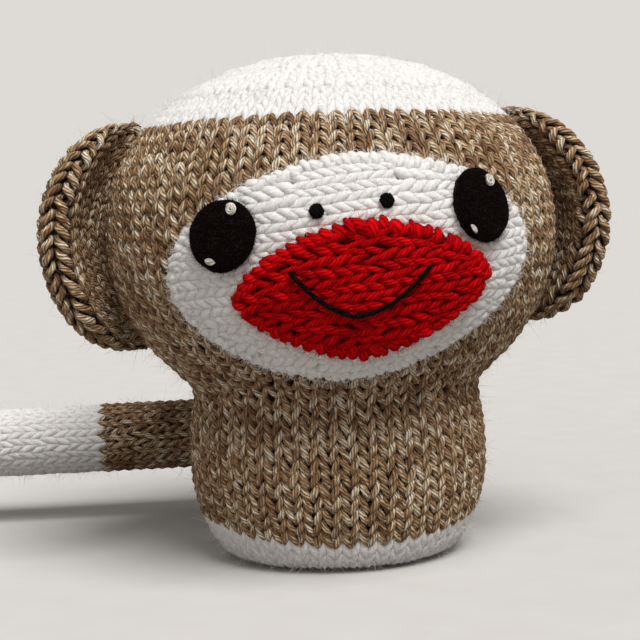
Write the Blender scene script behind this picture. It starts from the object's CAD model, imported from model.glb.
"""The looks of a hand-knitted sock monkey doll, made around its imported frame.

Every knitted surface is yarn: each course is one tube that runs through its own loops, on the
surface that the stuffing gives the doll. Units are metres, +Z is up and the face looks along -Y.
"""

import math

import bpy
import numpy as np
from mathutils import Matrix, Vector


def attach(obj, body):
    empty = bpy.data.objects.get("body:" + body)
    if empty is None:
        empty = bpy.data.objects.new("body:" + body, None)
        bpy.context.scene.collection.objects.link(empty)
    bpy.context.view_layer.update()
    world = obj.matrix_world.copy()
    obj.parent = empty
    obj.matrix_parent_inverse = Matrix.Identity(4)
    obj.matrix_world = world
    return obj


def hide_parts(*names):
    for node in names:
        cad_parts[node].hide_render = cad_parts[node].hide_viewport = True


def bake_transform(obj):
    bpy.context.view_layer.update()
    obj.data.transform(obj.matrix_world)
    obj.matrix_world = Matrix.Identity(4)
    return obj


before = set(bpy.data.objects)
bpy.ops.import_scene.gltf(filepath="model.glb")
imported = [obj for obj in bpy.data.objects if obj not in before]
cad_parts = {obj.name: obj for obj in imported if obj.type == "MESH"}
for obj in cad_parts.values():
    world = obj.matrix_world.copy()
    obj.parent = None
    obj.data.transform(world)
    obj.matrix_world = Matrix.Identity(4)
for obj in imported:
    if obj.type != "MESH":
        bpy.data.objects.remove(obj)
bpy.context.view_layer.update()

# The doll's outline, as in the frame
BASE_CONTACT_RADIUS = 0.033
BASE_EDGE_HEIGHT = 0.009
BASE_EDGE_RISE = 0.0050  # at the sides, where the edge sits higher
BASE_EDGE_REACH = 0.014  # how far from the edge its wales are drawn up with it
BODY_RADIUS = 0.043
BODY_WIDEST_HEIGHT = 0.029
BODY_LOWER_ROUNDNESS = 1.25
NECK_RADIUS = 0.0407
NECK_PIVOT_HEIGHT = 0.040
NECK_CREASE_HEIGHT = 0.050
HEAD_RADIUS = 0.0645
HEAD_WIDEST_HEIGHT = 0.093
HEAD_TOP_HEIGHT = 0.1436
HEAD_LOWER_DEPTH = 0.055
HEAD_UPPER_ROUNDNESS = 2.15
HEAD_LOWER_ROUNDNESS = 2.05
CROWN_EDGE_HEIGHT = 0.1240
CROWN_EDGE_DROP = 0.0020  # at the sides, where the edge sits lower
CROWN_EDGE_REACH = 0.012
NECK_SOFTNESS = 0.0028  # how far the crease of the neck is rounded
SMOOTHING_STEPS = 8  # of the outline, in that softness
SMOOTHING_REACH = 3 * SMOOTHING_STEPS
SMOOTHING_MARGIN = 30  # steps left out at either end
MIRRORED_POINTS = 40

# Face: a place is the arc round the head from the front, then the height
MUZZLE_PLACE = (-0.0023, 0.0844)
MUZZLE_HALF_SIZE = (0.0536, 0.0294)
MUZZLE_ROUNDNESS = 1.84
MUZZLE_TILT = math.radians(4.9)
MUZZLE_BASE = 0.0003
MUZZLE_THICKNESS = 0.0028
LIPS_PLACE = (-0.0002, 0.0804)
LIPS_HALF_SIZE = (0.0339, 0.0172)
LIPS_ROUNDNESS = 1.53
LIPS_TILT = math.radians(4.4)
LIPS_BASE = 0.0034
LIPS_THICKNESS = 0.0036
PAD_EDGE_SHARE = 0.35
PAD_FLATNESS = 6
PAD_ROLL = 0.5  # how fast a patch falls away beyond its edge
PAD_ROLL_CURVE = 260
KNIT_INSET = 0.0026  # how far a patch's knitting ends inside its edge, under the stitches
WHIP_REACH = 0.0042
WHIP_SLANT = 0.0014
WHIP_SHARE = 0.46  # of the stitches' pitch: their yarn's radius
WHIP_STEPS = 12
MUZZLE_GAUGE = (0.0048, 0.0033)  # a wale's and a course's pitch
MUZZLE_STITCHES = 84  # round its edge
MUZZLE_OVERHANG = 0.0009
LIPS_GAUGE = (0.00415, 0.0037)
LIPS_STITCHES = 52
LIPS_OVERHANG = 0.0006
PATCH_FIBRES = 2600
PATCH_FIBRE_LENGTH = 0.0013
PATCH_FIBRE_START_SHARE = 0.96  # of the way to the edge, where fibres start to lean out
SMILE_PLACES = ((-0.0178, 0.0853), (-0.0041, 0.0754), (-0.0003, 0.0757), (0.0143, 0.0855))
SMILE_SAGS = (0.0015, 0.0002, 0.0017)
SMILE_STITCH = 0.0045
SMILE_RADIUS = 0.00064
SMILE_BULGE = 0.0003
SMILE_UNEVENNESS = 0.00008
NOSTRIL_PLACES = ((-0.0116, 0.0990), (0.0055, 0.1009))
NOSTRIL_RADIUS = 0.0018
NOSTRIL_TILT = 0.5
NOSTRIL_STRAND = 0.00040
EYE_PLACES = ((-0.0348, 0.0939), (0.0307, 0.0989))
EYE_TILTS = (math.radians(-54), math.radians(25))
EYE_HALF_SIZES = ((0.0082, 0.0090), (0.0077, 0.0090))
EYE_BASE = 0.0034
EYE_THICKNESS = 0.0026
EYE_NARROWING_SHARE = 0.05
EYE_GRAIN = 0.00003  # how rough the felt's face is
EYE_HEM = 0.0015  # how far its edge is pressed into the knitting
EYE_FIBRES = 2000
EYE_EDGE_FIBRES = 800
EYE_FIBRE_LENGTH = 0.0011
GLINT_STRAND = 0.00042
DASH_STRAND = 0.00028
GLINT_PLACES = ((-0.0316, 0.0998), (0.0324, 0.1042))
GLINT_RADIUS = 0.0015
DASH_PLACES = ((-0.0375, 0.0881), (0.0265, 0.0934))
DASH_TILTS = (math.radians(-12), math.radians(-52))
DASH_HALF_SIZES = ((0.0015, 0.00085), (0.0014, 0.00065))

# Ears
EAR_HEIGHTS = (0.0931, 0.0957)  # the left ear's, then the right one's, which is a little smaller
EAR_HALF_HEIGHTS = (0.0315, 0.0305)
EAR_REACHES = (0.0146, 0.0114)
EAR_FULLNESS = 0.36  # of its outline: smaller is boxier
EAR_THICKNESS = 0.0080
EAR_RIM_SWELL = 0.0012
EAR_SET_BACK = 0.008
EAR_CUP = 0.021
EAR_CURL = math.radians(80)
EAR_ROOT_SHARE = 0.88  # of the ear's height: how long its sewn root is
EAR_SINK = 0.0012  # how far the root reaches into the head's knitting
EAR_PITCH_SHARE = 0.96  # of the body's wale
EAR_SLACK_SHARE = 1.08  # of the straight way from rim to root: its curved face
EAR_CURL_SHARE = 0.97  # of the full curl
EAR_END_THINNING_SHARE = 0.55
EAR_FUZZ = 1.2
EAR_ROOT_PLACE = 0.0672  # out from the doll's middle, where the ear starts to bend
EAR_BEND_LENGTH = 0.008
EAR_GRID = 40

# Tail
TAIL_RADIUS = 0.0115
TAIL_PIVOT = (0.0, 0.052414, 0.026)
TAIL_LEAD = 0.003
TAIL_ROOT_LENGTH = 0.0105  # from its pivot to the back that it is sewn to
TAIL_FLARE = 0.0006
TAIL_FLARE_LENGTH = 0.003
TAIL_BEND_RADIUS = 0.018
TAIL_BROWN_REACH = 0.069
TAIL_WHITE_LENGTH = 0.060
TAIL_WALES = 14
TAIL_TIP_WALES = 7
TAIL_TIP_LENGTH = 0.008
TAIL_TIP_HOLE = 0.001
TAIL_ROOT_BEND = (-0.011, -0.001)  # from its pivot, where it starts and ends bending
TAIL_BEND_LENGTH = 0.016
TAIL_STITCHES = 15
TAIL_STITCH_REACH = (0.0104, 0.0032)  # out from the tail's axis: its start, and its length
TAIL_STITCH_RISE = 0.0030

# Yarn and gauge
WALE_PITCH = 0.0051
COURSE_PITCH = 0.0036
YARN_RADIUS = 0.00106
LOOP_DEPTH = 0.0010
LEG_SPREAD_SHARE = 0.28  # of a wale: how far the legs lean into a V
LOOP_REACH_SHARE = 0.97  # of a course: half of a loop's height
LEG_SWELL_SHARE = 0.16
NARROW_SHARES = (0.45, 1.08)  # of a wale's pitch: its yarn's size follows it between these
NARROW_POWER = 0.85
UNEVEN_SHARE = 0.06
SOFT_PLUMPNESS_SHARE = 0.36
SOFT_FLATNESS_SHARE = 0.74
SOFT_FUZZ = 1.6
SOFT_LIGHT_REACH = 0.0009
BROWN_SOFTNESS = -0.25  # it is firmer and more deeply ribbed than the white
TWIST_LENGTH = 0.0092
STRANDS = 6
START_TWISTS = 50  # a yarn starts anywhere within these
PLAIN_TONES = (0.3, 0.7)
END_SHARE = 0.05  # of the radius, where a yarn's end closes
LOOP_STEPS = 16
YARN_SIDES = 6
ENVELOPE = LOOP_DEPTH + YARN_RADIUS  # from the middle of the knitting to its outer face
SHEET_DEPTH = 0.0009  # of the felted back of the knitting, under its middle
SOFT_SHEET_RISE = 0.0006  # how much nearer the face the soft yarn's felted back lies
CARRIED_DEPTH = 0.0001  # of the yarn carried behind a round of decreases, under the middle
CARRIED_SHARE = 1.2  # of a yarn's radius
BODY_WALES = 50
NECK_WALES = (54, 64)
NECK_WALE_HEIGHTS = (0.0555, 0.0650)  # where each of the neck's counts ends
HEAD_WALES = 75
HEAD_SPLIT_SHARES = (0.42, 0.71)  # of the way up the brown of the head, where its pieces meet
DECREASE_PITCH = 0.0048  # of a wale where the knitting narrows
DECREASE_ROWS = 3  # from one round of decreases to the next
BASE_HOLE, BASE_PLAIN_START = 0.002, 0.026  # along the outline from the middle of the base
CROWN_PLAIN_LENGTH, CROWN_CLOSING_LENGTH, CROWN_HOLE = 0.011, 0.030, 0.0005
BODY_BEND_START, HEAD_BEND_END = 0.030, 0.068

# Loose fibres
FIBRE_RADIUS = 0.00005
FIBRE_LENGTH = 0.0022
FIBRE_LENGTH_SHARES = (0.4, 1.5)
FIBRE_BEND_SHARE = 0.6
FIBRE_SPREAD_SHARE = 0.9
FIBRE_TAPER_SHARE = 0.85
FIBRE_RINGS = 4
LONG_FIBRE_SHARE = 0.06
LONG_FIBRE_STRETCH = 1.7
FIBRE_SIDES = 3
FIBRES_PER_STITCH = 4.2

# Stuffing
BODY_WAD_START, HEAD_WAD_START = 0.003, 0.066  # as heights
PIVOT_GAP = 0.003  # between the body's wad and the neck's pivot
NECK_WAD_REACHES = (0.003, 0.008)  # below and above the crease, along the outline
WAD_INSET, NECK_WAD_INSET, TAIL_WAD_INSET = 0.004, 0.006, 0.003
WAD_END_GAP, TAIL_WAD_GAP = 0.004, 0.010
WAD_LUMPS = 0.0006

# Bands of the map that the finish can be baked on
STRIP_LENGTH = 8  # a strip's steps over the number of strips
STRIP_MARGIN = 0.04
YARN_BAND = 0.88
SHEET_BAND, FIBRE_BAND = (0.885, 0.07), (0.965, 0.03)  # where it starts, and its height

SEED = 7
random = np.random.default_rng(SEED)


def unit(vectors):
    return vectors / np.maximum(np.linalg.norm(vectors, axis=-1, keepdims=True), 1e-12)


def stacked(*values):
    return np.stack(values, -1)


def run_along(points):
    """How far along a line of points each of them is."""
    return np.concatenate(([0], np.cumsum(np.linalg.norm(np.diff(points, axis=0), axis=1))))


def spokes(sides, first, second):
    """Directions evenly round from first towards second, for each row of these."""
    angles = np.arange(sides) * 2 * np.pi / sides
    return np.cos(angles)[:, None] * first[:, None] + np.sin(angles)[:, None] * second[:, None]


def grid_quads(rows, columns, closed_rows, closed_columns):
    """Each face of a grid: its row, its column and the numbers of its points."""
    across = np.arange(columns if closed_columns else columns - 1)
    i, j = np.meshgrid(np.arange(rows if closed_rows else rows - 1), across, indexing="ij")
    low, high, after = i * columns, (i + 1) % rows * columns, (j + 1) % columns
    return i, j, stacked(low + j, low + after, high + after, high + j)


# Yarn meshes


class Yarns:
    """Collects tubes of yarn, sheets and loose fibres, and makes them one object."""

    def __init__(self):
        self.points, self.quads, self.slots, self.cells = [], [], [], []
        self.yarn_map, self.relief_map = [], []
        self.count = 0
        self.segments = 0

    def add(self, points, quads, yarn_map, slot, cells, relief=None):
        self.points.append(points.reshape(-1, 3))
        self.quads.append(quads.reshape(-1, 4) + self.count)
        self.yarn_map.append(yarn_map.reshape(-1, 4, 2))
        plain = np.ones((quads.size // 4, 4, 2))
        self.relief_map.append(plain if relief is None else relief.reshape(-1, 4, 2))
        self.slots.append(np.full(quads.size // 4, slot))
        self.cells.append(cells.reshape(-1, 4, 3))
        self.count += points.size // 3

    def add_tube(self, centres, normals, radii, closed=False, sides=YARN_SIDES, relief=None):
        """A tube through centres. Its map runs in twists along it and in turns round it.

        Its relief is how far out of the cloth it lies, from 0 to 1, and a tone from 0 to 1.
        """
        if relief is None:
            relief = stacked(np.ones(len(centres)), np.full(len(centres), random.uniform(*PLAIN_TONES)))
        along = np.roll(centres, -1, 0) - np.roll(centres, 1, 0) if closed else np.gradient(centres, axis=0)
        side = unit(np.cross(unit(along), normals))
        out = unit(np.cross(side, along))
        if not closed:
            ends = np.concatenate(([0], np.arange(len(centres)), [len(centres) - 1]))
            centres, side, out, radii, relief = (v[ends] for v in (centres, side, out, radii, relief))
            radii[[0, -1]] *= END_SHARE
        rings = centres[:, None] + radii[:, None, None] * spokes(sides, out, side)
        count = len(centres)
        follow = np.concatenate((centres, centres[:1])) if closed else centres
        twists = run_along(follow) / TWIST_LENGTH + random.uniform(0, START_TWISTS)
        k, s, quads = grid_quads(count, sides, closed, True)
        corner_twists = stacked(twists[k], twists[k], twists[k + 1], twists[k + 1])
        corner_turns = stacked(s, s + 1, s + 1, s) / sides
        steps = self.segments + stacked(k, k, k, k)
        ahead = np.broadcast_to([0, 0, 1, 1], steps.shape)
        cells = stacked(steps, ahead, corner_turns).astype(float)
        after = relief[(k + 1) % count]
        corner_relief = np.stack((relief[k], relief[k], after, after), -2)
        self.add(rings, quads, stacked(corner_twists, corner_turns), 0, cells, corner_relief)
        self.segments += k.shape[0]

    def add_sheet(self, grid, closed, slot):
        """A sheet through a grid of points, closed round its second way or open."""
        rows, columns = grid.shape[:2]
        i, j, quads = grid_quads(rows, columns, False, closed)
        places = stacked(stacked(j, j + 1, j + 1, j), stacked(i, i, i + 1, i + 1))
        shares = places / (columns, rows)
        cells = np.concatenate((np.full(shares.shape[:-1] + (1,), -2.0), shares), -1)
        self.add(grid, quads, places.astype(float), slot, cells)

    def add_fibres(self, roots, directions, lengths, slot):
        """Loose curved fibres, each a thin tapered tube."""
        shares = np.linspace(0, 1, FIBRE_RINGS)
        bend = random.normal(size=roots.shape) * FIBRE_BEND_SHARE
        reach = directions[:, None] * shares[None, :, None] + bend[:, None] * shares[None, :, None] ** 2
        centres = roots[:, None] + lengths[:, None, None] * reach
        centres[..., 2] = np.maximum(centres[..., 2], FIBRE_RADIUS)  # none goes through the floor
        side = unit(np.cross(directions, random.normal(size=roots.shape)))
        other = np.cross(directions, side)
        radii = FIBRE_RADIUS * (1 - FIBRE_TAPER_SHARE * shares)
        around = spokes(FIBRE_SIDES, side, other)
        rings = centres[:, :, None] + radii[None, :, None, None] * around[:, None]
        k, s, quads = grid_quads(FIBRE_RINGS, FIBRE_SIDES, False, True)
        places = stacked(stacked(k, k, k + 1, k + 1) / FIBRE_RINGS, stacked(s, s + 1, s + 1, s) / FIBRE_SIDES)
        cells = np.concatenate((np.full(places.shape[:-1] + (1,), -1.0), places), -1)
        firsts = np.arange(len(roots)) * FIBRE_RINGS * FIBRE_SIDES
        quads = firsts[:, None, None, None] + quads
        places, cells = (np.broadcast_to(v, quads.shape + v.shape[-1:]) for v in (places, cells))
        self.add(rings, quads, places, slot, cells)

    def bake_map(self, cells):
        """A map without overlaps: yarn in strips, then a band for sheets and one for fibres."""
        kind = cells[:, 0, 0]
        places = np.zeros(cells.shape[:2] + (2,))
        tubes = kind >= 0
        per_strip = max(math.ceil(math.sqrt(STRIP_LENGTH * max(self.segments, 1))), 1)
        strips = max(math.ceil(self.segments / per_strip), 1)
        step, ahead, turn = (cells[tubes][..., i] for i in range(3))
        places[tubes, :, 0] = (step % per_strip + ahead) / per_strip
        turn = STRIP_MARGIN + (1 - 2 * STRIP_MARGIN) * turn
        places[tubes, :, 1] = YARN_BAND * (step // per_strip + turn) / strips
        for number, (start, height) in ((-2, SHEET_BAND), (-1, FIBRE_BAND)):
            these = kind == number
            places[these, :, 0] = cells[these][..., 1]
            places[these, :, 1] = start + height * cells[these][..., 2]
        return places

    def make(self, name, materials):
        points, quads = np.concatenate(self.points), np.concatenate(self.quads)
        mesh = bpy.data.meshes.new(name)
        mesh.vertices.add(len(points))
        mesh.vertices.foreach_set("co", points.ravel())
        mesh.loops.add(quads.size)
        mesh.loops.foreach_set("vertex_index", quads.ravel().astype(np.int32))
        mesh.polygons.add(len(quads))
        mesh.polygons.foreach_set("loop_start", np.arange(0, quads.size, 4, dtype=np.int32))
        mesh.polygons.foreach_set("material_index", np.concatenate(self.slots).astype(np.int32))
        mesh.update(calc_edges=True)
        for title, values in (("yarn", self.yarn_map), ("relief", self.relief_map)):
            mesh.uv_layers.new(name=title).data.foreach_set("uv", np.concatenate(values).ravel())
        bake = mesh.uv_layers.new(name="OFBake")
        bake.data.foreach_set("uv", self.bake_map(np.concatenate(self.cells)).ravel())
        mesh.shade_smooth()
        for material in materials:
            mesh.materials.append(material)
        piece = bpy.data.objects.new(name, mesh)
        bpy.context.scene.collection.objects.link(piece)
        return piece


# Knitting


def course(yarns, place, row, first, count, closed, soft=0.0):
    """One course of count loops from the wale first, at a row of a surface.

    A soft yarn is plumper and lies flatter.
    """
    share = np.arange(count * LOOP_STEPS + (0 if closed else 1)) / LOOP_STEPS
    turn = 2 * np.pi * share
    uneven = random.normal(0, UNEVEN_SHARE, (3, count + 1))
    uneven[:, -1] = uneven[:, 0]
    lean, lift, swell = (np.interp(share, np.arange(count + 1), values) for values in uneven)
    wale = first + share + LEG_SPREAD_SHARE * np.sin(2 * turn) + lean
    level = row - LOOP_REACH_SHARE * np.cos(turn) + lift
    points, normals = place(wale, level)
    left, _ = place(first + share - 0.5, np.full_like(share, row))
    right, _ = place(first + share + 0.5, np.full_like(share, row))
    width = np.linalg.norm(right - left, axis=-1) / WALE_PITCH
    scale = np.clip(width, *NARROW_SHARES) ** NARROW_POWER
    depth = -LOOP_DEPTH * np.cos(2 * turn) * scale * (1 - SOFT_FLATNESS_SHARE * soft)
    radii = YARN_RADIUS * scale * (1 - LEG_SWELL_SHARE * np.cos(2 * turn)) * (1 + swell)
    radii = radii * (1 + SOFT_PLUMPNESS_SHARE * soft)
    tones = random.random(2 * count + 1)
    tones[-1] = tones[0]
    tone = np.interp(share, np.arange(2 * count + 1) / 2, tones)
    relief = stacked(0.5 - 0.5 * np.cos(2 * turn), tone)
    yarns.add_tube(points + normals * depth[:, None], normals, radii, closed, relief=relief)


def loose_fibres(yarns, place, first, count, low, high, fuzz=1.0):
    """Fibres that stand off the knitting between two rows."""
    number = int(count * (high - low) * (FIBRES_PER_STITCH * fuzz))
    wale, row = random.uniform(first, first + count, number), random.uniform(low, high, number)
    points, normals = place(wale, row)
    directions = unit(normals + random.normal(size=points.shape) * FIBRE_SPREAD_SHARE)
    longer = np.where(random.random(number) < LONG_FIBRE_SHARE, LONG_FIBRE_STRETCH, 1.0)
    lengths = FIBRE_LENGTH * random.uniform(*FIBRE_LENGTH_SHARES, number) * longer
    yarns.add_fibres(points + normals * LOOP_DEPTH, directions, lengths, 1)


def knit_round(yarns, place, wales, rows, soft=0.0, decreased=False):
    """A closed stretch of knitting, with its felted back and loose fibres.

    Where it starts with decreases, the yarn carried behind them fills the gaps between its loops.
    """
    if decreased:
        points, normals = place(np.arange(0, wales, 0.5), np.zeros(2 * wales))
        radii = np.full(2 * wales, YARN_RADIUS * CARRIED_SHARE)
        yarns.add_tube(points - normals * CARRIED_DEPTH, normals, radii, True)
    for row in range(rows):
        course(yarns, place, row + 0.5, 0, wales, True, soft=soft)
    turns, levels = np.arange(0, wales, 0.5), np.linspace(-0.5, rows + 0.5, 2 * rows + 1)
    wale, row = np.meshgrid(turns, levels)
    points, normals = place(wale, row)
    yarns.add_sheet(points - normals * (SHEET_DEPTH - SOFT_SHEET_RISE * max(soft, 0)), True, 2)
    loose_fibres(yarns, place, 0, wales, 0, rows, 1 + SOFT_FUZZ * max(soft, 0))


def superellipse(share, roundness):
    return np.maximum(1 - np.minimum(np.abs(share), 1) ** roundness, 0) ** (1 / roundness)


def body_radius(height):
    below = np.clip((BODY_WIDEST_HEIGHT - height) / BODY_WIDEST_HEIGHT, 0, 1)
    swell = (1 - below * below) ** (1 / BODY_LOWER_ROUNDNESS)
    low = BASE_CONTACT_RADIUS + (BODY_RADIUS - BASE_CONTACT_RADIUS) * swell
    above = (height - BODY_WIDEST_HEIGHT) / (NECK_CREASE_HEIGHT - BODY_WIDEST_HEIGHT)
    high = NECK_RADIUS + (BODY_RADIUS - NECK_RADIUS) * np.cos(np.clip(above, 0, 1) * np.pi / 2)
    return np.where(height < BODY_WIDEST_HEIGHT, low, high)


def head_radius(height):
    above = (height - HEAD_WIDEST_HEIGHT) / (HEAD_TOP_HEIGHT - HEAD_WIDEST_HEIGHT)
    below = (HEAD_WIDEST_HEIGHT - height) / HEAD_LOWER_DEPTH
    high, low = superellipse(above, HEAD_UPPER_ROUNDNESS), superellipse(below, HEAD_LOWER_ROUNDNESS)
    return HEAD_RADIUS * np.where(height > HEAD_WIDEST_HEIGHT, high, low)


def head_lean(height):
    """The angle of the head's outward direction above the horizontal."""
    step = HEAD_RADIUS / 1000
    return np.arctan(-(head_radius(height + step) - head_radius(height - step)) / (2 * step))


def even_outline(outline, softness, inset):
    """The outline at even steps, with its corners rounded, moved inward by inset."""
    mirror = outline * (-1, 1)
    start, end = mirror[1:MIRRORED_POINTS][::-1], mirror[-MIRRORED_POINTS:-1][::-1]
    whole = np.concatenate((start, outline, end))
    along = run_along(whole)
    even = np.arange(0, along[-1], softness / SMOOTHING_STEPS)
    points = [np.interp(even, along, values) for values in whole.T]
    weights = np.exp(-0.5 * (np.arange(-SMOOTHING_REACH, SMOOTHING_REACH + 1) / SMOOTHING_STEPS) ** 2)
    weights /= weights.sum()
    smooth = stacked(*(np.convolve(values, weights, "same") for values in points))
    smooth = smooth[SMOOTHING_MARGIN:-SMOOTHING_MARGIN]
    slope = unit(np.gradient(smooth, axis=0))
    inner = smooth - inset * stacked(slope[:, 1], -slope[:, 0])
    kept = np.flatnonzero(inner[:, 0] > 0.0001)
    return inner[kept[0]:kept[-1] + 1]


def upright(height):
    """The axis of the body and head: its point, and the ways to the front, right and up."""
    centre = np.zeros(np.shape(height) + (3,))
    centre[..., 2] = height
    return centre, np.array([0, -1, 0]), np.array([1, 0, 0]), np.array([0, 0, 1])


def tail_axis(length):
    """The tail's axis by its length from the root: back, round a bend, then to -X."""
    bend = TAIL_BEND_RADIUS * math.pi / 2
    turned = np.clip((length - TAIL_LEAD) / TAIL_BEND_RADIUS, 0, math.pi / 2)
    lead = np.minimum(length, TAIL_LEAD)
    beyond = np.maximum(length - TAIL_LEAD - bend, 0)
    x = -TAIL_BEND_RADIUS * (1 - np.cos(turned)) - beyond
    y = lead + TAIL_BEND_RADIUS * np.sin(turned)
    centre = stacked(x, y, np.zeros_like(x)) + TAIL_PIVOT
    along = stacked(-np.sin(turned), np.cos(turned), np.zeros_like(x))
    front = np.broadcast_to([0, 0, 1], along.shape)
    return centre, front, np.cross(along, front), along


def turned(outline, axis):
    """A surface turned from an outline of (radius, place on the axis)."""
    along = run_along(outline)
    slope = unit(np.gradient(outline, axis=0))

    def surface(turn, length):
        radius, level, run, rise = (
            np.interp(length, along, values) for values in (*outline.T, *slope.T)
        )
        centre, front, right, way = axis(level)
        angle = 2 * np.pi * turn
        spoke = np.sin(angle)[..., None] * right + np.cos(angle)[..., None] * front
        return centre + radius[..., None] * spoke, spoke * rise[..., None] - way * run[..., None]

    return surface, outline, along


def stretch(solid, start, stop, wales, slack=None):
    """A stretch of a turned surface, as a place by wale and row, with its wales and rows."""
    surface, _, _ = solid
    rows = max(round((stop - start) / COURSE_PITCH), 1)
    pitch = (stop - start) / rows

    def place(wale, row):
        turn, length = wale / wales, start + row * pitch
        return surface(turn, length + slack(turn, length) if slack else length)

    return place, wales, rows


def length_at(solid, level):
    """How far along the outline it reaches a height for the last time."""
    _, outline, along = solid
    return float(along[np.flatnonzero(outline[:, 1] < level)[-1]])


def with_normals(place, sign):
    """Adds outward directions to a place that gives only points."""

    def both(wale, row):
        step = 0.01
        points = place(wale, row)
        across, up = place(wale + step, row) - points, place(wale, row + step) - points
        return points, sign * unit(np.cross(across, up))

    return both


# Materials


def linear(hexes):
    """A written colour such as 75513d as scene-linear numbers."""
    parts = [int(hexes[i:i + 2], 16) / 255 for i in (0, 2, 4)]
    return [part / 12.92 if part <= 0.04045 else ((part + 0.055) / 1.055) ** 2.4 for part in parts]


class Graph:
    """A material's nodes."""

    def __init__(self, name, roughness=0.9, sheen=0.0, sheen_tint="ffffff"):
        self.material = bpy.data.materials.new(name)
        self.material.use_nodes = True
        self.tree = self.material.node_tree
        self.shader = self.tree.nodes["Principled BSDF"]
        self.look("Roughness", roughness)
        self.look("Specular IOR Level", 0.12)
        self.look("Sheen Weight", sheen)
        self.look("Sheen Roughness", 0.5)
        self.look("Sheen Tint", (*linear(sheen_tint), 1))

    def look(self, slot, value):
        self.shader.inputs[slot].default_value = value

    def set(self, node, slot, value):
        if isinstance(value, bpy.types.NodeSocket):
            self.tree.links.new(value, node.inputs[slot])
        elif value is not None:
            node.inputs[slot].default_value = value

    def math(self, operation, a, b=None):
        node = self.tree.nodes.new("ShaderNodeMath")
        node.operation = operation
        self.set(node, 0, a)
        self.set(node, 1, b)
        return node.outputs[0]

    def times(self, a, b):
        return self.math("MULTIPLY", a, b)

    def plus(self, a, b):
        return self.math("ADD", a, b)

    def place(self):
        return self.tree.nodes.new("ShaderNodeTexCoord").outputs["Object"]

    def join(self, x, y, z=0.0):
        node = self.tree.nodes.new("ShaderNodeCombineXYZ")
        for slot, value in enumerate((x, y, z)):
            self.set(node, slot, value)
        return node.outputs[0]

    def noise(self, vector, scale, detail=2.0, roughness=0.5):
        node = self.tree.nodes.new("ShaderNodeTexNoise")
        self.set(node, "Vector", vector)
        self.set(node, "Scale", scale)
        self.set(node, "Detail", detail)
        self.set(node, "Roughness", roughness)
        return node.outputs["Fac"]

    def ramp(self, factor, stops):
        node = self.tree.nodes.new("ShaderNodeValToRGB")
        self.set(node, "Fac", factor)
        elements = node.color_ramp.elements
        for index, (place, tone) in enumerate(stops):
            element = elements[index] if index < 2 else elements.new(place)
            element.position = place
            element.color = (*linear(tone), 1)
        return node.outputs["Color"]

    def mix(self, factor, a, b, blend="MIX"):
        node = self.tree.nodes.new("ShaderNodeMix")
        node.data_type = "RGBA"
        node.blend_type = blend
        self.set(node, 0, factor)
        self.set(node, 6, a)
        self.set(node, 7, b)
        return node.outputs[2]

    def bump(self, height, distance, strength=1.0):
        node = self.tree.nodes.new("ShaderNodeBump")
        self.set(node, "Height", height)
        self.set(node, "Distance", distance)
        self.set(node, "Strength", strength)
        self.tree.links.new(node.outputs["Normal"], self.shader.inputs["Normal"])

    def finish(self, colour):
        self.tree.links.new(colour, self.shader.inputs["Base Color"])
        return self.material


def yarn_material(name, stops, groove, groove_share, gap_share=0.92, roughness=0.9, sheen=0.2, tint="ffffff",
                  strands=STRANDS, tones=0.22, grain=0.00035, depth_power=1.3, soft_light=0.0, specular=0.12,
                  dip=(0.22, 0.88)):
    """Plied yarn: strands that wind round it, with fibres along them and flecks of colour.

    It's darker in the grooves between its strands and where it dips into the cloth.
    """
    graph = Graph(name, roughness, sheen, tint)

    def read(title):
        uv = graph.tree.nodes.new("ShaderNodeUVMap")
        uv.uv_map = title
        split = graph.tree.nodes.new("ShaderNodeSeparateXYZ")
        graph.tree.links.new(uv.outputs["UV"], split.inputs[0])
        return split.outputs[0], split.outputs[1]

    (twist, turn), (outward, tone) = read("yarn"), read("relief")
    wander = graph.noise(graph.join(graph.times(twist, 4.0), turn), 1.0, 1.0)
    phase = graph.times(graph.plus(twist, turn), strands)
    phase = graph.plus(phase, graph.times(wander, 1.2))
    ridge = graph.math("ABSOLUTE", graph.math("SINE", graph.times(phase, math.pi)))
    strand = graph.math("FLOOR", phase)
    fleck_place = graph.join(graph.times(phase, 0.55), graph.times(twist, 2.6),
                             graph.times(strand, 0.37))
    flecks = graph.noise(fleck_place, 1.0, 1.5, 0.55)
    flecks = graph.plus(flecks, graph.times(graph.math("SUBTRACT", tone, 0.5), tones))
    fibre_place = graph.join(graph.times(phase, 4.0), graph.times(twist, 7.0))
    fibres = graph.noise(fibre_place, 1.0, 2.0, 0.6)
    colour = graph.ramp(flecks, stops)
    shade = graph.ramp(fibres, ((0.25, "8a8a8a"), (0.75, "ffffff")))
    colour = graph.mix(0.5, colour, shade, "MULTIPLY")
    depth = graph.math("POWER", ridge, depth_power)
    hollow = graph.times(graph.math("SUBTRACT", 1.0, depth), groove_share)
    colour = graph.mix(hollow, colour, (*linear(groove), 1))
    facing = graph.math("COSINE", graph.times(turn, 2 * math.pi))
    exposed = graph.plus(graph.times(outward, 0.62), graph.times(facing, 0.38))
    sunk = graph.tree.nodes.new("ShaderNodeMapRange")
    sunk.interpolation_type = "SMOOTHSTEP"
    for slot, value in enumerate((exposed, *dip, gap_share, 0.0)):
        graph.set(sunk, slot, value)
    colour = graph.mix(sunk.outputs[0], colour, (*linear(groove), 1))
    height = graph.plus(graph.times(depth, 0.75), graph.times(fibres, 0.25))
    graph.bump(height, grain)
    graph.look("Specular IOR Level", specular)
    graph.look("Subsurface Weight", soft_light)
    graph.look("Subsurface Radius", (1.0, 0.97, 0.94))
    graph.look("Subsurface Scale", SOFT_LIGHT_REACH)
    return graph.finish(colour)


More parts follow.
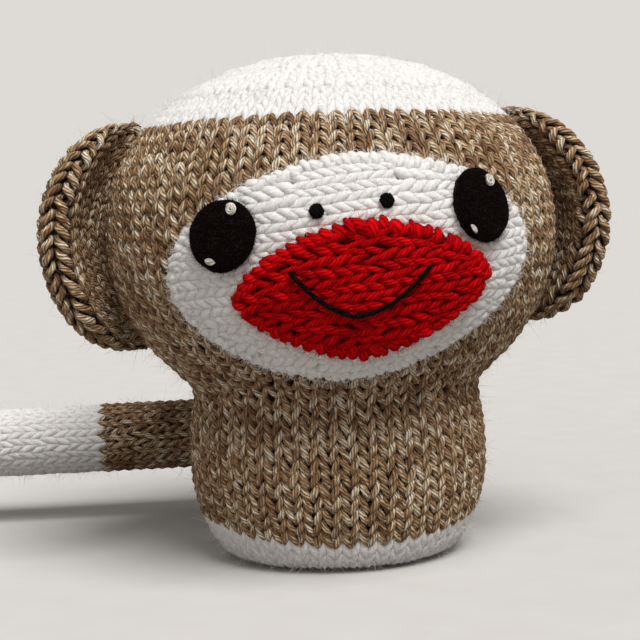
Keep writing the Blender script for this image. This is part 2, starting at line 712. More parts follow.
def fibre_material(name, tones):
    """Loose fibres and the felted back of the knitting."""
    graph = Graph(name, 0.95)
    flecks = graph.noise(graph.place(), 420.0, 3.0, 0.6)
    return graph.finish(graph.ramp(flecks, ((0.35, tones[0]), (0.65, tones[1]))))


BROWN = yarn_material(
    "heather_brown_yarn",
    ((0.27, "77563e"), (0.42, "a27d5b"), (0.51, "c6a37b"), (0.585, "e8cea8"), (0.66, "fbecd3")),
    "220c05", 0.66, 0.96, sheen=0.1, tint="d8c4a4", dip=(0.31, 0.95),
)
BROWN_FIBRE = fibre_material("brown_fibre", ("6f523e", "b39475"))
BROWN_BACK = fibre_material("brown_back", ("140a07", "24140e"))
WHITE = yarn_material(
    "white_yarn", ((0.0, "ebe7e3"), (0.45, "efece8"), (0.60, "f3f0ec")), "d8d0ca", 0.10, 0.45, sheen=0.05,
    tones=0.1, grain=0.00006, depth_power=0.8, soft_light=0.35,
)
WHITE_FIBRE = fibre_material("white_fibre", ("ebe7e2", "f3f0ec"))
WHITE_BACK = fibre_material("white_back", ("e2dcd6", "ece8e3"))
RED = yarn_material(
    "red_yarn", ((0.0, "980004"), (0.42, "bd0006"), (0.54, "d60009"), (0.68, "e8060f")),
    "520003", 0.55, 0.70, sheen=0.0, depth_power=1.0, soft_light=0.15, specular=0.06,
)
RED_FIBRE = fibre_material("red_fibre", ("a8000a", "d0101c"))
RED_BACK = fibre_material("red_back", ("700004", "920006"))

# Each kind is a slot and its materials: yarn, loose fibres and felted back
BROWNS = ("brown_yarn", BROWN, BROWN_FIBRE, BROWN_BACK)
WHITES = ("white_yarn", WHITE, WHITE_FIBRE, WHITE_BACK)
REDS = ("red_yarn", RED, RED_FIBRE, RED_BACK)
THREAD = ("black_thread", yarn_material(
    "black_thread", ((0.0, "010101"), (0.55, "040303"), (0.72, "100c0d")), "000000", 0.6, 0.5,
    roughness=0.8, sheen=0.0, strands=3, specular=0.06,
))
FLOSS = ("cream_floss", yarn_material(
    "cream_floss", ((0.0, "dfd8c8"), (0.5, "efe9dc"), (0.65, "f8f4ea")), "8f8474", 0.5, 0.6,
    roughness=0.6, sheen=0.05, strands=3,
))


def felt_material():
    graph = Graph("black_felt", 1.0)
    graph.look("Specular IOR Level", 0.03)
    place = graph.place()
    fine, coarse = graph.noise(place, 2600.0, 4.0, 0.65), graph.noise(place, 700.0, 3.0, 0.6)
    graph.bump(graph.plus(graph.times(fine, 0.5), coarse), 0.0003, 0.8)
    return graph.finish(graph.ramp(fine, ((0.38, "030202"), (0.58, "0c0706"), (0.72, "2c1d1a"))))


def wadding_material():
    graph = Graph("polyester_fibrefill", 0.95, 0.3)
    wisps = graph.noise(graph.place(), 300.0, 5.0, 0.65)
    graph.bump(wisps, 0.0012, 0.9)
    return graph.finish(graph.ramp(wisps, ((0.3, "c9c6c0"), (0.7, "eeece8"))))


FELT = ("black_felt", felt_material(), fibre_material("felt_fibre", ("080505", "34231f")))
WADDING = ("fibrefill", wadding_material())


# Body and head


def doll_outline():
    """The doll's outline from the middle of its base to the top of its head."""
    disc = [(radius, 0.0) for radius in np.linspace(0, BASE_CONTACT_RADIUS, 60)[:-1]]
    heights = np.linspace(0, NECK_CREASE_HEIGHT, 120)
    body = stacked(body_radius(heights), heights)
    low = np.linspace(NECK_CREASE_HEIGHT + 0.0004, HEAD_WIDEST_HEIGHT, 120)
    lower = stacked(head_radius(low), low)
    rise = np.sin(np.linspace(0, np.pi / 2, 160)[1:])
    high = HEAD_WIDEST_HEIGHT + (HEAD_TOP_HEIGHT - HEAD_WIDEST_HEIGHT) * rise
    upper = stacked(head_radius(high), high)
    upper[-1, 0] = 0.0
    outline = np.concatenate((disc, body, lower, upper))
    return even_outline(outline, NECK_SOFTNESS, ENVELOPE)


DOLL = turned(doll_outline(), upright)


def make_piece(yarns, name, kind, nodes, body="head", blend=None, fill=None):
    """Makes a piece of a kind, rides or bends it, and says which nodes it stands for."""
    slot, *materials = kind
    piece = yarns.make(name, materials)
    if blend:
        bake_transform(piece)
    else:
        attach(piece, body)
    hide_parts(*nodes)


def slack(turn, length):
    """The base's edge sits higher at the doll's sides than at its front, and the crown's lower."""
    base, crown = (
        most * np.exp(-(((length - length_at(DOLL, height)) / reach) ** 2))
        for most, height, reach in (
            (BASE_EDGE_RISE, BASE_EDGE_HEIGHT, BASE_EDGE_REACH),
            (CROWN_EDGE_DROP, CROWN_EDGE_HEIGHT, CROWN_EDGE_REACH),
        )
    )
    return (base - crown) * (1 - np.cos(4 * np.pi * turn)) / 2


def shaped(start, stop):
    """Short stretches whose wales follow the doll's girth, as decreases do."""
    _, outline, along = DOLL
    parts = max(round((stop - start) / (DECREASE_ROWS * COURSE_PITCH)), 1)
    ends = np.linspace(start, stop, parts + 1)
    radii = np.interp((ends[:-1] + ends[1:]) / 2, along, outline[:, 0])
    wales = np.maximum(np.round(2 * np.pi * radii / DECREASE_PITCH), 6).astype(int)
    return tuple(zip(ends[:-1], ends[1:], wales))


def knit_doll(name, stretches, kind, node, **motion):
    """A piece of the body or head, knitted in stretches of (start, stop, wales)."""
    yarns = Yarns()
    white = kind is WHITES
    softness = 1.0 if white else BROWN_SOFTNESS
    for start, stop, wales in stretches:
        decreased = white and wales not in (BODY_WALES, HEAD_WALES)
        knit_round(yarns, *stretch(DOLL, start, stop, wales, slack), softness, decreased)
    make_piece(yarns, name, kind, (node,), fill=0.9, **motion)


def make_body_and_head():
    edge, neck, crown, first, second = (
        length_at(DOLL, height)
        for height in (BASE_EDGE_HEIGHT, NECK_CREASE_HEIGHT, CROWN_EDGE_HEIGHT, *NECK_WALE_HEIGHTS)
    )
    top = float(DOLL[2][-1])
    low, high = (neck + (crown - neck) * share for share in HEAD_SPLIT_SHARES)
    base = (*shaped(BASE_HOLE, BASE_PLAIN_START), (BASE_PLAIN_START, edge, BODY_WALES))
    knit_doll("base_knit", base, WHITES, "base_panel", body="torso")
    bend = ("torso", "neck", (0, 0, BODY_BEND_START), (0, 0, NECK_CREASE_HEIGHT))
    knit_doll("body_knit", ((edge, neck, BODY_WALES),), BROWNS, "body_skin", blend=bend)
    bend = ("neck", "head", (0, 0, NECK_CREASE_HEIGHT), (0, 0, HEAD_BEND_END))
    lower = ((neck, first, NECK_WALES[0]), (first, second, NECK_WALES[1]), (second, low, HEAD_WALES))
    knit_doll("head_knit_lower", lower, BROWNS, "head_skin", blend=bend)
    for name, start, stop in (("middle", low, high), ("upper", high, crown)):
        knit_doll(f"head_knit_{name}", ((start, stop, HEAD_WALES),), BROWNS, "head_skin")
    first, second = crown + CROWN_PLAIN_LENGTH, top - CROWN_CLOSING_LENGTH
    lower = ((crown, first, HEAD_WALES), *shaped(first, second))
    for name, rows in (("lower", lower), ("upper", shaped(second, top - CROWN_HOLE))):
        knit_doll(f"crown_knit_{name}", rows, WHITES, "crown_cap")


# Ears


def ear_place(index, sign, width_pitch):
    """The ear's knitting by wale, counted from the rim's middle, and row, from its lower end."""
    half = EAR_THICKNESS / 2 - ENVELOPE
    middle, half_height = EAR_HEIGHTS[index], EAR_HALF_HEIGHTS[index]

    def reach(angle):
        return EAR_REACHES[index] * np.maximum(np.cos(angle), 0) ** EAR_FULLNESS

    angles = np.linspace(-np.pi / 2, np.pi / 2, 800)
    heights = middle + half_height * np.sin(angles)
    rim = stacked(head_radius(heights) + reach(angles), heights)
    along = run_along(rim)
    rows = round(float(along[-1]) / COURSE_PITCH)

    def angle_at(row):
        return np.interp(row / rows * along[-1], along, angles)

    def half_length(angle):
        face = np.hypot(reach(angle) + EAR_SINK, EAR_CUP * np.cos(angle)) * EAR_SLACK_SHARE
        return face + half * np.pi / 2

    def place(wale, row):
        angle = angle_at(row)
        cos = np.cos(angle)
        width = reach(angle)
        share = np.clip(wale * width_pitch / half_length(angle), -1, 1)
        rim_share = half * np.pi / 2 / half_length(angle)
        round_share = np.clip(np.abs(share) / rim_share, 0, 1)
        face = np.clip((np.abs(share) - rim_share) / (1 - rim_share), 0, 1)
        thin = EAR_END_THINNING_SHARE * np.abs(np.sin(angle)) ** 8
        offset = (half + EAR_RIM_SWELL * (1 - face) ** 2) * (1 - thin)
        curl = EAR_CURL * EAR_CURL_SHARE * (1 - face)
        out = (width + EAR_SINK) * np.sin(curl) / math.sin(EAR_CURL) - EAR_SINK
        forward = EAR_CUP * cos * (1 - np.cos(curl)) / (1 - math.cos(EAR_CURL))
        run = (width + EAR_SINK) * np.cos(curl) / math.sin(EAR_CURL)
        rise = EAR_CUP * cos * np.sin(curl) / (1 - math.cos(EAR_CURL))
        size = np.maximum(np.hypot(run, rise), 1e-9)
        run, rise = run / size, rise / size
        ahead = np.cos(round_share * np.pi / 2) * offset
        beside = np.sin(round_share * np.pi / 2) * offset * np.sign(wale)
        out, forward = out + run * ahead - rise * beside, forward + rise * ahead + run * beside
        root_height = EAR_ROOT_SHARE * (2 * row / rows - 1)
        height = middle + half_height * ((1 - face) * np.sin(angle) + face * root_height)
        x = head_radius(height) - ENVELOPE * 0.5 + out
        return stacked(sign * x, EAR_SET_BACK - forward, height)

    return with_normals(place, -sign), rows, lambda row: half_length(angle_at(row))


def make_ear(side, index, sign):
    pitch = WALE_PITCH * EAR_PITCH_SHARE
    place, rows, half_length = ear_place(index, sign, pitch)
    yarns = Yarns()
    for row in range(rows):
        wales = max(int(half_length(row + 0.5) / pitch + 0.35), 1)
        course(yarns, place, row + 0.5, -wales, 2 * wales, False, soft=BROWN_SOFTNESS)
    widest = half_length(rows / 2) / pitch
    inset = 0.2
    across, up = np.linspace(-widest, widest, EAR_GRID), np.linspace(inset, rows - inset, EAR_GRID)
    wale, row = np.meshgrid(across, up)
    points, normals = place(wale, row)
    yarns.add_sheet(points - normals * SHEET_DEPTH, False, 2)
    loose_fibres(yarns, place, -widest, 2 * widest, 0, rows, EAR_FUZZ)
    root = sign * EAR_ROOT_PLACE
    start, end = ((x, EAR_SET_BACK, EAR_HEIGHTS[index]) for x in (root, root + sign * EAR_BEND_LENGTH))
    blend = ("head", f"ear_{side}", start, end)
    make_piece(yarns, f"ear_{side}_knit", BROWNS, (f"ear_{side}",), blend=blend)


# Tail


def tail_change():
    return TAIL_LEAD + TAIL_BEND_RADIUS * math.pi / 2 + TAIL_BROWN_REACH - TAIL_BEND_RADIUS


def tail_outline():
    """The tail's outline as (radius, length along its axis), from the back to its round end."""
    tip = tail_change() + TAIL_WHITE_LENGTH - TAIL_RADIUS
    angles = np.linspace(np.pi / 2, 0.12, 30)
    inner = TAIL_RADIUS - ENVELOPE
    end = stacked(inner * np.sin(angles), tip + inner * np.cos(angles))
    middle = np.linspace(-TAIL_ROOT_LENGTH, tip, 240)[:-1]
    flare = TAIL_FLARE * np.exp(-(middle + TAIL_ROOT_LENGTH) / TAIL_FLARE_LENGTH)
    return np.concatenate((stacked(inner + flare, middle), end))


TAIL = turned(tail_outline(), tail_axis)
TAIL_CHANGE = float(np.interp(tail_change(), TAIL[1][:, 1], TAIL[2]))
TAIL_END = float(TAIL[2][-1])


def make_tail():
    brown, white = Yarns(), Yarns()
    tip = TAIL_END - TAIL_TIP_LENGTH
    for yarns, start, stop, wales, soft in (
        (brown, 0.0, TAIL_CHANGE, TAIL_WALES, BROWN_SOFTNESS),
        (white, TAIL_CHANGE, tip, TAIL_WALES, 1.0),
        (white, tip, TAIL_END - TAIL_TIP_HOLE, TAIL_TIP_WALES, 1.0),
    ):
        knit_round(yarns, *stretch(TAIL, start, stop, wales), soft)
    x, y, z = TAIL_PIVOT
    bend = ("torso", "tail_root", *((x, y + reach, z) for reach in TAIL_ROOT_BEND))
    make_piece(brown, "tail_brown_knit", BROWNS, ("tail_brown_skin",), fill=0.85, blend=bend)
    y += TAIL_LEAD + TAIL_BEND_RADIUS
    x = -TAIL_BROWN_REACH
    bend = ("tail_root", "tail_tip", (x, y, z), (x - TAIL_BEND_LENGTH, y, z))
    make_piece(white, "tail_white_knit", WHITES, ("tail_white_skin",), fill=0.85, blend=bend)


def make_tail_stitches():
    """The yarn that whips the tail's root to the back, in short slanted stitches."""
    yarns = Yarns()
    x, y, z = TAIL_PIVOT
    near, length = TAIL_STITCH_REACH
    steps = np.linspace(0, 1, 9)
    for i in range(TAIL_STITCHES):
        angle = 2 * math.pi * (i + 0.55 * steps + random.normal(0, 0.05)) / TAIL_STITCHES
        reach = near + length * steps**0.8
        right, up = reach * np.cos(angle), z + reach * np.sin(angle)
        back = np.sqrt(body_radius(up) ** 2 - right**2)
        rise = TAIL_STITCH_RISE * (1 - steps) ** 1.3 - 0.0004 * steps
        centres = stacked(x + right, back + rise, up)
        normals = unit(stacked(np.cos(angle), np.full(9, 0.8), np.sin(angle)))
        yarns.add_tube(centres, normals, YARN_RADIUS * (0.65 + 0.25 * np.sin(np.pi * steps)))
    make_piece(yarns, "tail_stitches", BROWNS[:2], ("tail_seam",), body="torso")


# Face


def on_head(arc, height, lift):
    """The point at an arc and a height on the head, lifted off its surface."""
    azimuth, lean = arc / HEAD_RADIUS, head_lean(height)
    radius, z = head_radius(height) + lift * np.cos(lean), height + lift * np.sin(lean)
    return stacked(radius * np.sin(azimuth), -radius * np.cos(azimuth), z)


def from_head(points):
    """The directions of points from the middle of the head."""
    return unit(points - (0, 0, HEAD_WIDEST_HEIGHT))


def tilted(place, tilt, across, up):
    """The arc and height of a point across and up from a place, in something tilted."""
    c, s = math.cos(tilt), math.sin(tilt)
    return place[0] + across * c - up * s, place[1] + across * s + up * c


class Patch:
    """A rounded patch sewn on the head: its place, half sizes, roundness, tilt and lifts."""

    def __init__(self, place, half_size, roundness, tilt, base, thickness, narrowing=0.0):
        self.place, self.half_size, self.roundness, self.tilt = place, half_size, roundness, tilt
        self.base, self.thickness, self.narrowing = base, thickness, narrowing

    def local(self, across, up):
        """The arc and height at a place measured from the patch's own middle."""
        return tilted(self.place, self.tilt, across, up)

    def share(self, across, up):
        """From 0 in the middle to 1 at the edge."""
        width = self.half_size[0] * (1 - self.narrowing * np.clip(up / self.half_size[1], -1, 1))
        x, y = np.abs(across) / width, np.abs(up) / self.half_size[1]
        return (x**self.roundness + y**self.roundness) ** (1 / self.roundness)

    def edge(self, angle, share=1.0):
        """The place across and up at an angle round the patch."""
        c, s = np.cos(angle), np.sin(angle)
        size = (np.abs(c) ** self.roundness + np.abs(s) ** self.roundness) ** (-1 / self.roundness) * share
        width = self.half_size[0] * (1 - self.narrowing * share * s)
        return width * size * c, self.half_size[1] * size * s

    def lift(self, share):
        """The height of the patch over the head, which rolls over beyond its edge."""
        crown = np.sqrt(1 - np.minimum(share, 1) ** PAD_FLATNESS)
        beyond = np.maximum(share - 1, 0) * sum(self.half_size) / 2
        top = self.base + self.thickness * (PAD_EDGE_SHARE + (1 - PAD_EDGE_SHARE) * crown)
        return top - PAD_ROLL * beyond - PAD_ROLL_CURVE * beyond * beyond

    def point(self, across, up, lower=0.0):
        arc, height = self.local(across, up)
        return on_head(arc, height, self.lift(self.share(across, up)) - lower)


def fitted(reach, wale_pitch):
    """How a course's wales are placed: even ones in the middle, and the last two fitted to its ends."""
    last = max(round(reach / wale_pitch), 1)
    inner = max(last - 2, 0)
    wales = (-last - 1, -last, -inner, inner, last, last + 1)
    gap = (reach - inner * wale_pitch) / (last - inner)
    places = (-reach - gap, -reach, -inner * wale_pitch, inner * wale_pitch, reach, reach + gap)
    if inner == 0:
        wales, places = (-last - 1, last + 1), (-reach - gap, reach + gap)
    return last, wales, places


def knit_patch(name, patch, gauge, kind, nodes, stitches, overhang, soft=0.0):
    """A patch knitted sideways: its wales run across the face, and its courses up and down."""
    yarns = Yarns()
    width, height = patch.half_size
    wale_pitch, course_pitch = gauge
    courses = round(2 * width / course_pitch)
    pitch = 2 * width / courses
    for row in range(courses):
        across = (row + 0.5) * pitch - width
        reach = height * float(superellipse(across / width, patch.roundness)) + overhang - KNIT_INSET
        last, wales, places = fitted(reach, wale_pitch)

        def surface(wale, level):
            return patch.point(level * pitch - width, np.interp(wale, wales, places), ENVELOPE)

        course(yarns, with_normals(surface, -1), row + 0.5, -last, 2 * last, False, soft=soft)
    angle, share = np.meshgrid(np.linspace(0, 2 * np.pi, 65)[:-1], np.linspace(0.02, 1.0, 9))
    across, up = patch.edge(angle, share)
    yarns.add_sheet(patch.point(across, up, ENVELOPE + SHEET_DEPTH - SOFT_SHEET_RISE * soft), True, 2)
    whip_edge(yarns, patch, stitches, overhang, soft)
    number = int(PATCH_FIBRES * (1 + soft))
    angle, share = random.uniform(0, 2 * np.pi, number), np.sqrt(random.uniform(0, 1.0, number))
    share[::4] = random.uniform(PATCH_FIBRE_START_SHARE, 1.01, len(share[::4]))
    across, up = patch.edge(angle, share)
    roots = patch.point(across, up, YARN_RADIUS * 0.8)
    out = from_head(roots)
    middle = on_head(*patch.place, 0.0)
    aside = unit(roots - middle) * (share > PATCH_FIBRE_START_SHARE)[:, None]
    directions = unit(0.8 * out + aside + random.normal(size=roots.shape) * FIBRE_SPREAD_SHARE)
    yarns.add_fibres(roots, directions, PATCH_FIBRE_LENGTH * random.uniform(0.5, 1.5, number), 1)
    make_piece(yarns, name, kind, nodes, fill=0.4)


def outline_lengths(patch):
    """Angles round a patch, and how far along its outline they are."""
    angles = np.linspace(0, 2 * np.pi, 721)
    across, up = patch.edge(angles)
    return angles, np.concatenate(([0], np.cumsum(np.hypot(np.diff(across), np.diff(up)))))


def whip_edge(yarns, patch, stitches, overhang, soft):
    """The yarn that whips a patch's edge to what it lies on, in plump uneven stitches."""
    angles, lengths = outline_lengths(patch)
    gaps = random.uniform(0.7, 1.3, stitches)
    centres = np.cumsum(gaps) / gaps.sum() * lengths[-1]
    pitch = lengths[-1] / stitches
    steps = np.linspace(0, 1, WHIP_STEPS)
    bow = np.sin(np.pi * np.clip(steps * 1.15 + 0.02, 0, 1)) ** 0.5
    for centre, gap in zip(centres, gaps):
        radius = pitch * WHIP_SHARE * (0.6 + 0.4 * gap) * random.uniform(0.85, 1.18)
        slant = WHIP_SLANT + random.normal(0, 0.0010)
        along = (centre + (steps - 0.5) * slant) % lengths[-1]
        across, up = patch.edge(np.interp(along, lengths, angles))
        reach = WHIP_REACH * random.uniform(0.8, 1.2)
        out = overhang - radius * 0.7 + random.normal(0, 0.00025)
        inward = reach * (1 - steps) - out * steps
        size = 1 - inward / np.hypot(across, up)
        lower = radius * (1 - 0.25 * (1 - soft)) + radius * 1.1 * (1 - bow)
        points = patch.point(across * size, up * size, lower)
        normals = from_head(points)
        relief = stacked(0.35 + 0.65 * bow, np.full(WHIP_STEPS, random.random()))
        yarns.add_tube(points, normals, radius * (0.55 + 0.45 * bow), relief=relief, sides=8)


MUZZLE = Patch(MUZZLE_PLACE, MUZZLE_HALF_SIZE, MUZZLE_ROUNDNESS, MUZZLE_TILT, MUZZLE_BASE, MUZZLE_THICKNESS)
LIPS = Patch(LIPS_PLACE, LIPS_HALF_SIZE, LIPS_ROUNDNESS, LIPS_TILT, LIPS_BASE, LIPS_THICKNESS)


def lay_thread(yarns, points, radius, bulge):
    """A thread through points on the head, with round ends."""
    centres = np.array(points)
    normals = from_head(centres)
    shares = np.linspace(0, 1, len(centres))
    radii = radius * np.clip(np.minimum(shares, 1 - shares) * 8 + 0.55, 0, 1)
    yarns.add_tube(centres + normals * (bulge * np.sin(np.pi * shares))[:, None], normals, radii, sides=8)


def on_lips(arc, height, lift):
    """A point that lies on the lips, lifted off them."""
    across, up = arc - LIPS.place[0], height - LIPS.place[1]
    c, s = math.cos(LIPS.tilt), math.sin(LIPS.tilt)
    return on_head(arc, height, LIPS.lift(LIPS.share(across * c + up * s, up * c - across * s)) + lift)


def make_smile():
    """Back stitches of black thread along three bowed lines."""
    for index, part in enumerate(("left", "middle", "right")):
        start, end = SMILE_PLACES[index:index + 2]
        stitches = max(round(math.dist(start, end) / SMILE_STITCH), 1)
        yarns = Yarns()
        for i in range(stitches):
            overlap = 0.12  # of a stitch, under its neighbours
            shares = (i + np.linspace(-overlap, 1 + overlap, 12)) / stitches
            arc = start[0] + (end[0] - start[0]) * shares
            sag = SMILE_SAGS[index] * np.sin(np.pi * np.clip(shares, 0, 1))
            height = start[1] + (end[1] - start[1]) * shares - sag + random.normal(0, SMILE_UNEVENNESS)
            lay_thread(yarns, on_lips(arc, height, SMILE_RADIUS * 0.2), SMILE_RADIUS, SMILE_BULGE)
        make_piece(yarns, f"smile_{part}_stitch", THREAD, (f"smile_{part}",))


def coiled_dot(name, place, size, lift, strand, kind, node):
    """A dot of thread wound in a coil, as in a knot stitch."""
    turn = np.linspace(0, 2 * np.pi * 2.4, 60)
    radius = strand * 0.4 + (size - strand * 1.2) * (turn / turn[-1]) ** 0.8
    arc, height = place[0] + radius * np.cos(turn), place[1] + radius * np.sin(turn)
    centres = on_head(arc, height, lift + strand * (0.9 - 0.9 * (radius / size) ** 2))
    normals = from_head(centres)
    yarns = Yarns()
    yarns.add_tube(centres, normals, np.full(60, strand), sides=8)
    make_piece(yarns, name, kind, (node,))


def satin_dot(name, place, half_size, tilt, lift, strand, kind, node, leaf=False):
    """A dot of side by side stitches. Those of a leaf meet at its ends."""
    yarns = Yarns()
    across, along = half_size if not leaf else half_size[::-1]
    count = max(round(2 * across / (strand * 1.3)), 3)
    for i in range(count):
        offset = (2 * (i + 0.5) / count - 1) * (across - strand * 0.5)
        shares = np.linspace(-1, 1, 13)
        if leaf:
            line, side = shares * (along - strand * 0.5), offset * (1 - shares**2)
        else:
            width = math.sqrt(max(1 - (offset / across) ** 2, 0.08))
            line, side = shares * along * width, np.full(13, offset)
        side = side + random.normal(0, strand * 0.06)
        x, y = (line, side) if leaf else (side, line)
        arc, height = tilted(place, tilt, x, y)
        crown = 1 - 0.6 * (offset / across) ** 2
        rise = lift + strand * (crown * (1.2 - 1.3 * np.abs(shares) ** 3) - 0.35)
        centres = on_head(arc, height, rise)
        normals = from_head(centres)
        yarns.add_tube(centres, normals, strand * (1 - 0.5 * np.abs(shares) ** 4), sides=8)
    make_piece(yarns, name, kind, (node,))


def make_eye(side, index):
    """An egg of black felt with cream stitches for its highlights."""
    egg = Patch(EYE_PLACES[index], EYE_HALF_SIZES[index], 2.0, EYE_TILTS[index], EYE_BASE, EYE_THICKNESS,
                EYE_NARROWING_SHARE)
    yarns = Yarns()
    angles = np.linspace(0, 2 * np.pi, 97)[:-1]
    wobble = 1 + 0.009 * np.sin(7 * angles + index) + 0.006 * np.sin(13 * angles + 2)
    shares = np.concatenate((np.sin(np.linspace(0.01, np.pi / 2, 22)), np.linspace(1.0, 0.94, 5)[1:]))
    angle, share = np.meshgrid(angles, shares)
    across, up = egg.edge(angle, share * wobble)
    arc, height = egg.local(across, up)
    lift = egg.lift(np.minimum(share, 0.9995))
    lift[-4:] = np.linspace(egg.base + EYE_THICKNESS * PAD_EDGE_SHARE, egg.base - EYE_HEM, 5)[1:, None]
    lift[:-4] += random.normal(0, EYE_GRAIN, lift[:-4].shape)
    yarns.add_sheet(on_head(arc, height, lift)[::-1], True, 0)
    angle = random.uniform(0, 2 * np.pi, EYE_FIBRES)
    share = np.sqrt(random.uniform(0, 1.0, EYE_FIBRES))
    share[:EYE_EDGE_FIBRES] = 1.0
    across, up = egg.edge(angle, share * 0.995)
    arc, height = egg.local(across, up)
    roots = on_head(arc, height, egg.lift(share) - 0.0001)
    out = from_head(roots)
    directions = unit(0.5 * out + random.normal(size=roots.shape) * 0.6)
    yarns.add_fibres(roots, directions, EYE_FIBRE_LENGTH * random.uniform(0.4, 1.4, EYE_FIBRES), 1)
    make_piece(yarns, f"eye_{side}_felt", FELT, (f"eye_{side}",))
    top = EYE_BASE + EYE_THICKNESS
    coiled_dot(f"eye_{side}_glint_knot", GLINT_PLACES[index], GLINT_RADIUS, top, GLINT_STRAND, FLOSS,
               f"eye_{side}_glint")
    satin_dot(f"eye_{side}_dash_stitches", DASH_PLACES[index], DASH_HALF_SIZES[index],
              DASH_TILTS[index], top, DASH_STRAND, FLOSS, f"eye_{side}_dash", leaf=True)


def make_face():
    knit_patch("muzzle_knit", MUZZLE, MUZZLE_GAUGE, WHITES, ("muzzle_patch", "muzzle_seam"),
               MUZZLE_STITCHES, MUZZLE_OVERHANG, soft=1.0)
    knit_patch("lips_knit", LIPS, LIPS_GAUGE, REDS, ("lips_patch", "lips_seam"), LIPS_STITCHES, LIPS_OVERHANG)
    make_smile()
    top = MUZZLE_BASE + MUZZLE_THICKNESS
    for side, place in zip(("left", "right"), NOSTRIL_PLACES):
        satin_dot(f"nostril_{side}_stitches", place, (NOSTRIL_RADIUS, NOSTRIL_RADIUS), NOSTRIL_TILT,
                  top + 0.0001, NOSTRIL_STRAND, THREAD, f"nostril_{side}")
    make_eye("left", 0)
    make_eye("right", 1)


# Stuffing


def make_wad(name, solid, start, stop, inset, body):
    """A wad of fibrefill inside the knitting."""
    surface, _, _ = solid
    lengths, turns = np.linspace(start, stop, 40), np.arange(48) / 48
    turn, length = np.meshgrid(turns, lengths)
    points, normals = surface(turn, length)
    lumps = np.sin(5 * 2 * np.pi * turn + 400 * length) + np.sin(9 * 2 * np.pi * turn - 700 * length)
    points = points - normals * (inset + WAD_LUMPS * lumps)[..., None]
    middle_low, middle_high = points[0].mean(axis=0), points[-1].mean(axis=0)
    ends = [middle_low + (points[0] - middle_low) * share for share in (0.02, 0.5)]
    tops = [middle_high + (points[-1] - middle_high) * share for share in (0.5, 0.02)]
    yarns = Yarns()
    yarns.add_sheet(np.stack((*ends, *points, *tops)), True, 0)
    make_piece(yarns, f"{name}_wadding", WADDING, (f"{name}_stuffing",), body=body, fill=0.9)


def make_stuffing():
    edge, neck, crease, low = (
        length_at(DOLL, height)
        for height in (BODY_WAD_START, NECK_PIVOT_HEIGHT - PIVOT_GAP, NECK_CREASE_HEIGHT, HEAD_WAD_START)
    )
    top = float(DOLL[2][-1])
    below, above = NECK_WAD_REACHES
    for name, solid, start, stop, inset, body in (
        ("body", DOLL, edge, neck, WAD_INSET, "torso"),
        ("neck", DOLL, crease - below, crease + above, NECK_WAD_INSET, "neck"),
        ("head", DOLL, low, top - WAD_END_GAP, WAD_INSET, "head"),
        ("tail_brown", TAIL, TAIL_ROOT_LENGTH, TAIL_CHANGE - TAIL_WAD_GAP, TAIL_WAD_INSET, "tail_root"),
        ("tail_white", TAIL, TAIL_CHANGE + TAIL_WAD_GAP, TAIL_END - WAD_END_GAP, TAIL_WAD_INSET, "tail_tip"),
    ):
        make_wad(name, solid, start, stop, inset, body)


# Studio

CAMERA_DISTANCE = 0.480
CAMERA_HEIGHT = 0.103
CAMERA_AZIMUTH = math.radians(-7.5)
CAMERA_PITCH = math.radians(4.28)
CAMERA_ROLL = math.radians(2.0)
CAMERA_LENS = 93.3
PICTURE_WIDTH = 640
AXIS_PIXEL = 333.5  # where the doll's axis stands in the picture
WORLD_COLOUR, WORLD_STRENGTH = (1.0, 0.96, 0.93, 1), 0.23
SEEN_COLOUR = (0.7305, 0.7085, 0.6725, 1)  # of the background, like the floor at the horizon


def make_camera():
    data = bpy.data.cameras.new("camera")
    data.lens = CAMERA_LENS
    data.sensor_width = 36.0
    data.shift_x = (PICTURE_WIDTH / 2 - AXIS_PIXEL) / PICTURE_WIDTH
    data.clip_start = 0.01
    camera = bpy.data.objects.new("camera", data)
    bpy.context.scene.collection.objects.link(camera)
    sin, cos = math.sin(CAMERA_AZIMUTH), math.cos(CAMERA_AZIMUTH)
    level, right = Vector((-sin, cos, 0)), Vector((cos, sin, 0))
    ahead = level * math.cos(CAMERA_PITCH) - Vector((0, 0, 1)) * math.sin(CAMERA_PITCH)
    up = right.cross(ahead)
    across = right * math.cos(CAMERA_ROLL) - up * math.sin(CAMERA_ROLL)
    above = right * math.sin(CAMERA_ROLL) + up * math.cos(CAMERA_ROLL)
    turn = Matrix((across, above, -ahead)).transposed()
    place = Vector((sin * CAMERA_DISTANCE, -cos * CAMERA_DISTANCE, CAMERA_HEIGHT))
    camera.matrix_world = Matrix.Translation(place) @ turn.to_4x4()
    bpy.context.scene.camera = camera


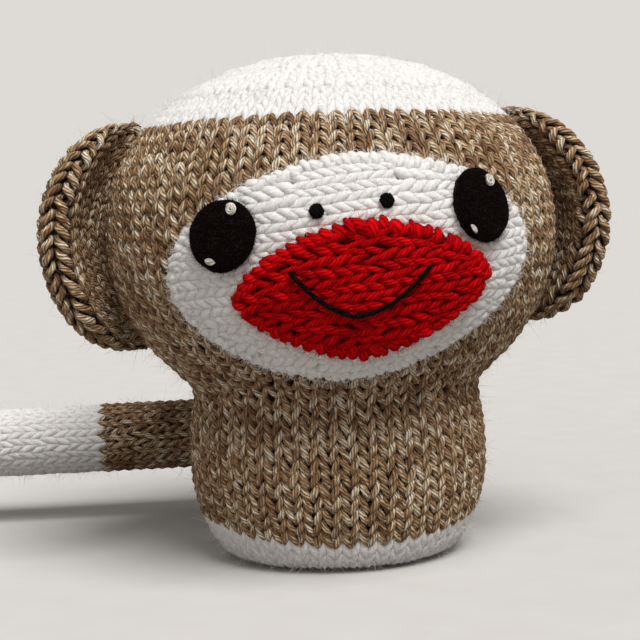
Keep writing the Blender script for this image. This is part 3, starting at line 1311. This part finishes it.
def make_sun(name, power, spread, heading):
    data = bpy.data.lights.new(name, "SUN")
    data.energy = power
    data.angle = math.radians(spread)
    lamp = bpy.data.objects.new(name, data)
    bpy.context.scene.collection.objects.link(lamp)
    lamp.rotation_euler = Vector(heading).to_track_quat("-Z", "Y").to_euler()


def sees_background(tree):
    """1 for the rays that show what they meet, to the camera or in gloss and glass, and 0 for light."""
    rays = tree.nodes.new("ShaderNodeLightPath")
    seen = rays.outputs["Is Camera Ray"]
    for kind in ("Is Glossy Ray", "Is Transmission Ray"):
        either = tree.nodes.new("ShaderNodeMath")
        either.operation = "MAXIMUM"
        tree.links.new(seen, either.inputs[0])
        tree.links.new(rays.outputs[kind], either.inputs[1])
        seen = either.outputs[0]
    return seen


def make_studio():
    scene = bpy.context.scene
    scene.view_settings.view_transform = "Standard"
    world = bpy.data.worlds.new("studio")
    scene.world = world
    world.use_nodes = True
    tree = world.node_tree
    background = tree.nodes["Background"]
    background.inputs["Color"].default_value = WORLD_COLOUR
    background.inputs["Strength"].default_value = WORLD_STRENGTH
    seen = tree.nodes.new("ShaderNodeBackground")
    seen.inputs["Color"].default_value = SEEN_COLOUR
    mix = tree.nodes.new("ShaderNodeMixShader")
    tree.links.new(sees_background(tree), mix.inputs[0])
    tree.links.new(background.outputs[0], mix.inputs[1])
    tree.links.new(seen.outputs[0], mix.inputs[2])
    tree.links.new(mix.outputs[0], tree.nodes["World Output"].inputs["Surface"])
    make_sun("daylight", 3.4, 34, (-0.20, 0.58, -1.0))
    make_sun("fill", 0.60, 60, (0.3, 0.9, -0.40))
    bpy.ops.mesh.primitive_circle_add(vertices=96, radius=6.0, fill_type="NGON", location=(0, 0, 0))
    floor = bpy.context.object
    floor.name = "floor"
    graph = Graph("pale_floor", 0.9)
    grain = graph.noise(graph.place(), 60.0, 3.0)
    pale = graph.ramp(grain, ((0.3, "c8c5c1"), (0.7, "cccac6")))
    seen = sees_background(graph.tree)
    floor.data.materials.append(graph.finish(graph.mix(seen, (*linear("9a9692"), 1), pale)))


make_camera()
make_body_and_head()
make_ear("left", 0, -1)
make_ear("right", 1, 1)
make_tail()
make_tail_stitches()
make_face()
make_stuffing()
make_studio()
